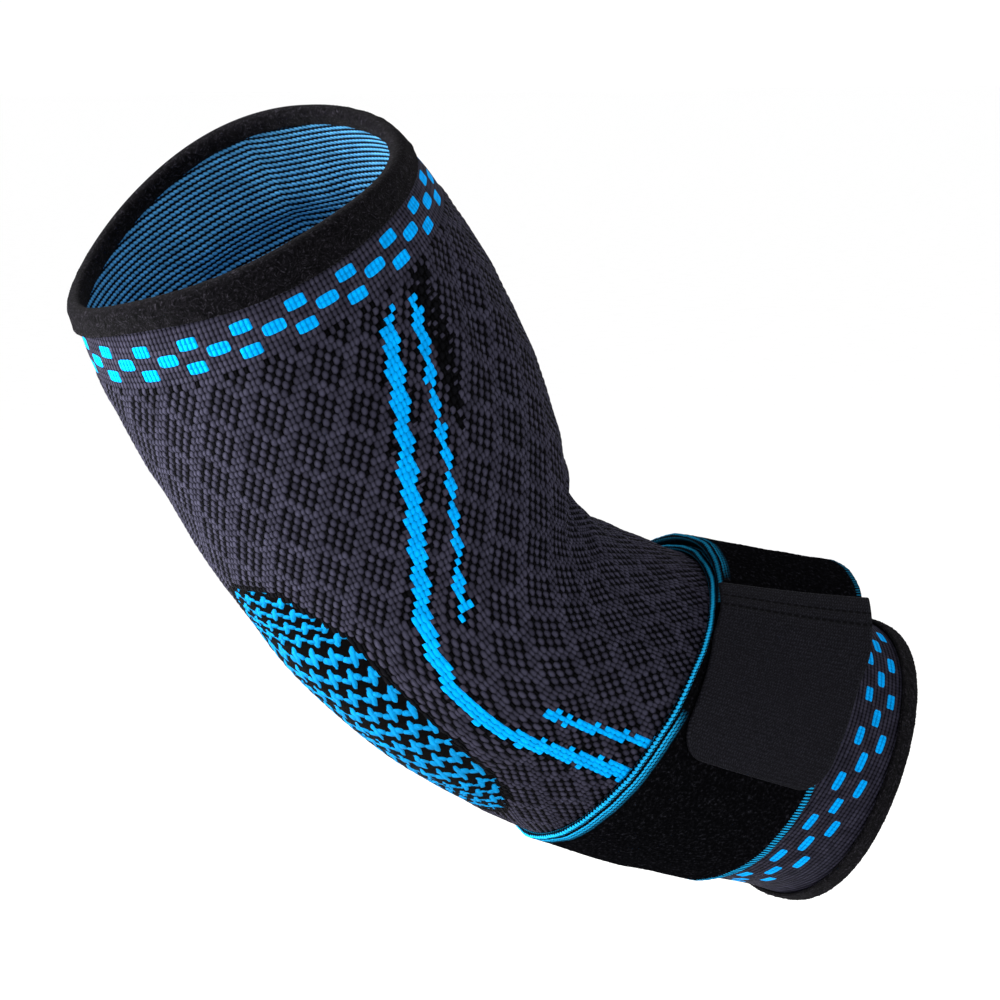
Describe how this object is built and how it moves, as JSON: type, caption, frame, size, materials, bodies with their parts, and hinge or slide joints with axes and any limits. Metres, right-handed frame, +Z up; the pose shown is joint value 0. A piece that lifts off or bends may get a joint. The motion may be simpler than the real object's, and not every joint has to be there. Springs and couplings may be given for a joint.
{
  "type": "elbow brace",
  "caption": "Knitted compression elbow sleeve in its bent worn form, open at both ends, with a soft folded binding on each edge and a loop-webbing forearm strap closed by a hook tab",
  "frame": {"origin": "where the axes of the upper arm and the forearm cross, inside the hollow at the elbow, where the arm holds the brace", "axes": "+Z up, +X forward along the forearm, which drops 21.7 degrees; the upper arm leans back 33 degrees; the arm bends in the XZ plane and Y runs across it"},
  "size_m": [0.2549, 0.0996, 0.221],
  "materials": {
    "knit": "ribbed jacquard knit of dark grey and black yarn with bright blue yarn in the pattern",
    "binding": "black plush elastic, folded and sewn over the edge",
    "loop_webbing": "black looped elastic webbing with blue edge bands",
    "hook_fabric": "smooth matte black woven back of a hook tab"
  },
  "bodies": {
    "root": {"knit_sleeve": "knit", "upper_cuff_binding": "binding", "lower_cuff_binding": "binding", "forearm_strap": "loop_webbing", "hook_tab": "hook_fabric"}
  },
  "joints": []
}
